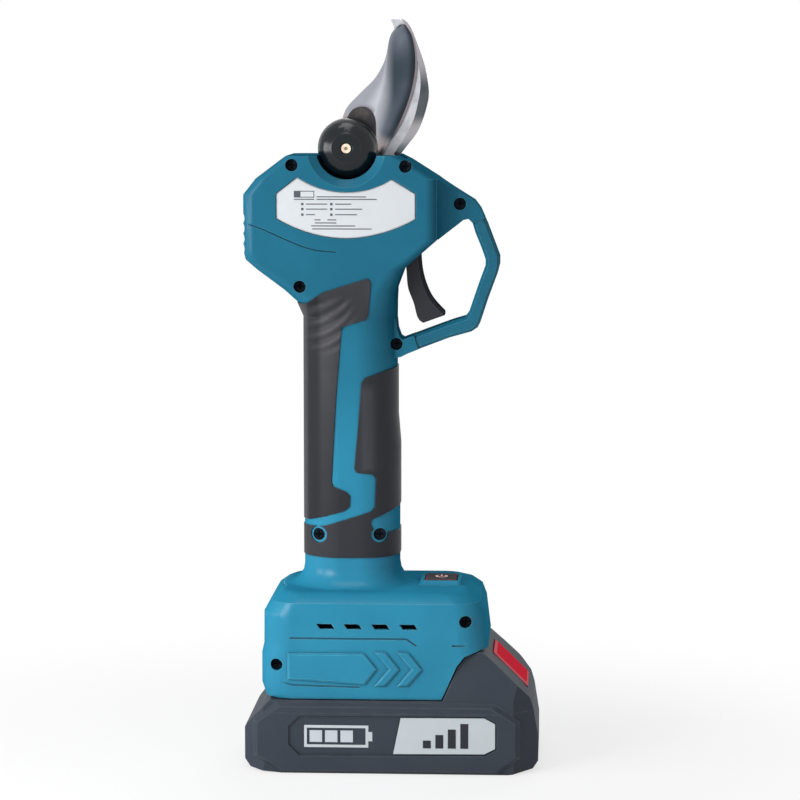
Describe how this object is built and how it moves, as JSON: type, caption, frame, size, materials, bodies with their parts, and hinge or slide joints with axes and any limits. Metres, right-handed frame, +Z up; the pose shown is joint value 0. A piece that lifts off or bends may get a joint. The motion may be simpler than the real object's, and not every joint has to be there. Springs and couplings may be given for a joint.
{
  "type": "battery electric pruner",
  "caption": "Hand-held battery pruner with a bypass blade head, a curved trigger in a looped guard, a rubber-clad handle and a slide-on battery pack that it stands on.",
  "frame": {"origin": "on the face that the battery pack stands on, straight under the pivot and the drive axis", "axes": "+Z up the handle, +X towards the trigger, -Y out of the labelled front face"},
  "size_m": [0.1192, 0.075, 0.3019],
  "materials": {
    "housing_teal": "fine-textured moulded plastic",
    "grip_rubber": "soft overmoulded rubber",
    "label_white": "bare satin label",
    "black_plastic": "matt",
    "dark_plate": "blackened steel",
    "blade_steel": "ground and polished",
    "screw_black": "black oxide",
    "bolt_steel": "turned",
    "brass": "turned",
    "bronze": "sintered bronze",
    "aluminium": "cast and machined",
    "gear_steel": "hardened steel",
    "can_steel": "plated steel",
    "laminations": "stacked laminations",
    "copper": "enamelled copper",
    "magnet": "plated magnet",
    "board_green": "solder-masked board",
    "component_black": "moulded components",
    "wire_insulation": "silicone lead",
    "trigger_black": "fine-textured",
    "button_grey": "soft key",
    "pack_plastic": "fine-textured moulded plastic",
    "plate_grey": "bare printed plate",
    "latch_red": "smooth",
    "cell_sleeve": "shrink sleeve",
    "nickel": "spot-welded strip"
  },
  "bodies": {
    "tool": {"front_shell": "housing_teal", "rear_shell": "housing_teal", "front_palm_grip": "grip_rubber", "rear_palm_grip": "grip_rubber", "front_finger_grip": "grip_rubber", "rear_finger_grip": "grip_rubber", "trigger_guard": "housing_teal", "rating_label": "label_white", "housing_screws": "screw_black", "head_frame": "aluminium", "fixed_blade": "blade_steel", "blade_screws": "bolt_steel", "pivot_bolt": "bolt_steel", "pivot_nut": "bolt_steel", "pivot_cap": "black_plastic", "cap_screw": "brass", "pinion_bearing": "bolt_steel", "ring_gear": "gear_steel", "gearbox_cover": "aluminium", "motor_can": "can_steel", "motor_end_cap": "black_plastic", "motor_bearings": "bolt_steel", "motor_stator": "laminations", "motor_coils": "copper", "controller_board": "board_green", "board_parts": "component_black", "trigger_pin": "bolt_steel", "trigger_spring": "bolt_steel", "trigger_switch": "component_black", "terminal_block": "black_plastic", "terminal_blades": "nickel", "power_switch": "component_black", "motor_leads": "wire_insulation"},
    "blade": {"moving_blade": "blade_steel", "drive_gear": "dark_plate", "drive_pin": "bronze", "blade_bush": "bronze"},
    "pinion": {"bevel_pinion": "gear_steel", "planet_carrier": "gear_steel"},
    "rotor": {"rotor": "magnet", "motor_shaft": "bolt_steel", "sun_gear": "gear_steel"},
    "trigger": {"trigger": "trigger_black"},
    "power_key": {"power_button": "button_grey"},
    "pack": {"pack_upper_case": "pack_plastic", "pack_lower_case": "pack_plastic", "pack_screws": "screw_black", "name_plates": "plate_grey", "cells": "cell_sleeve", "cell_holders": "black_plastic", "nickel_strips": "nickel", "bms_board": "board_green", "pack_contacts": "nickel", "latch_springs": "bolt_steel"},
    "latch": {"latch_button": "latch_red"},
    "planet_1": {"planet_gear_1": "gear_steel"},
    "planet_2": {"planet_gear_2": "gear_steel"},
    "planet_3": {"planet_gear_3": "gear_steel"}
  },
  "joints": [
    {"name": "blade_pivot", "type": "hinge", "parent": "tool", "child": "blade", "pos_m": [0, 0, 0.25], "axis": [0, -1, 0], "range_deg": [0, 55]},
    {"name": "pinion_spin", "type": "hinge", "parent": "tool", "child": "pinion", "pos_m": [0, 0, 0.232], "axis": [0, 0, 1], "range_deg": [0, 165]},
    {"name": "rotor_spin", "type": "hinge", "parent": "tool", "child": "rotor", "pos_m": [0, 0, 0.156], "axis": [0, 0, 1], "range_deg": [0, 825]},
    {"name": "trigger_pull", "type": "hinge", "parent": "tool", "child": "trigger", "pos_m": [0.024, 0, 0.214], "axis": [0, 1, 0], "range_deg": [0, 9], "stiffness_Nm_per_rad": 0.35, "springref_deg": -14.32},
    {"name": "power_press", "type": "slide", "parent": "tool", "child": "power_key", "axis": [0, 0, -1], "range_m": [0, 0.0009], "stiffness_N_per_m": 900, "springref_m": -0.001},
    {"name": "pack_slide", "type": "slide", "parent": "tool", "child": "pack", "axis": [1, 0, 0], "range_m": [0, 0.075]},
    {"name": "latch_press", "type": "slide", "parent": "pack", "child": "latch", "axis": [-0.7009, 0, -0.7132], "range_m": [0, 0.003], "stiffness_N_per_m": 900, "springref_m": -0.002},
    {"name": "planet_spin_1", "type": "hinge", "parent": "pinion", "child": "planet_1", "pos_m": [0, 0.00825, 0.185], "axis": [0, 0, 1], "range_deg": [-440, 0]},
    {"name": "planet_spin_2", "type": "hinge", "parent": "pinion", "child": "planet_2", "pos_m": [-0.00715, -0.00413, 0.185], "axis": [0, 0, 1], "range_deg": [-440, 0]},
    {"name": "planet_spin_3", "type": "hinge", "parent": "pinion", "child": "planet_3", "pos_m": [0.00715, -0.00413, 0.185], "axis": [0, 0, 1], "range_deg": [-440, 0]}
  ],
  "couplings": [
    {"joint": "pinion_spin", "follows": "blade_pivot", "ratio": 3},
    {"joint": "rotor_spin", "follows": "blade_pivot", "ratio": 15},
    {"joint": "planet_spin_1", "follows": "blade_pivot", "ratio": -8},
    {"joint": "planet_spin_2", "follows": "blade_pivot", "ratio": -8},
    {"joint": "planet_spin_3", "follows": "blade_pivot", "ratio": -8}
  ]
}
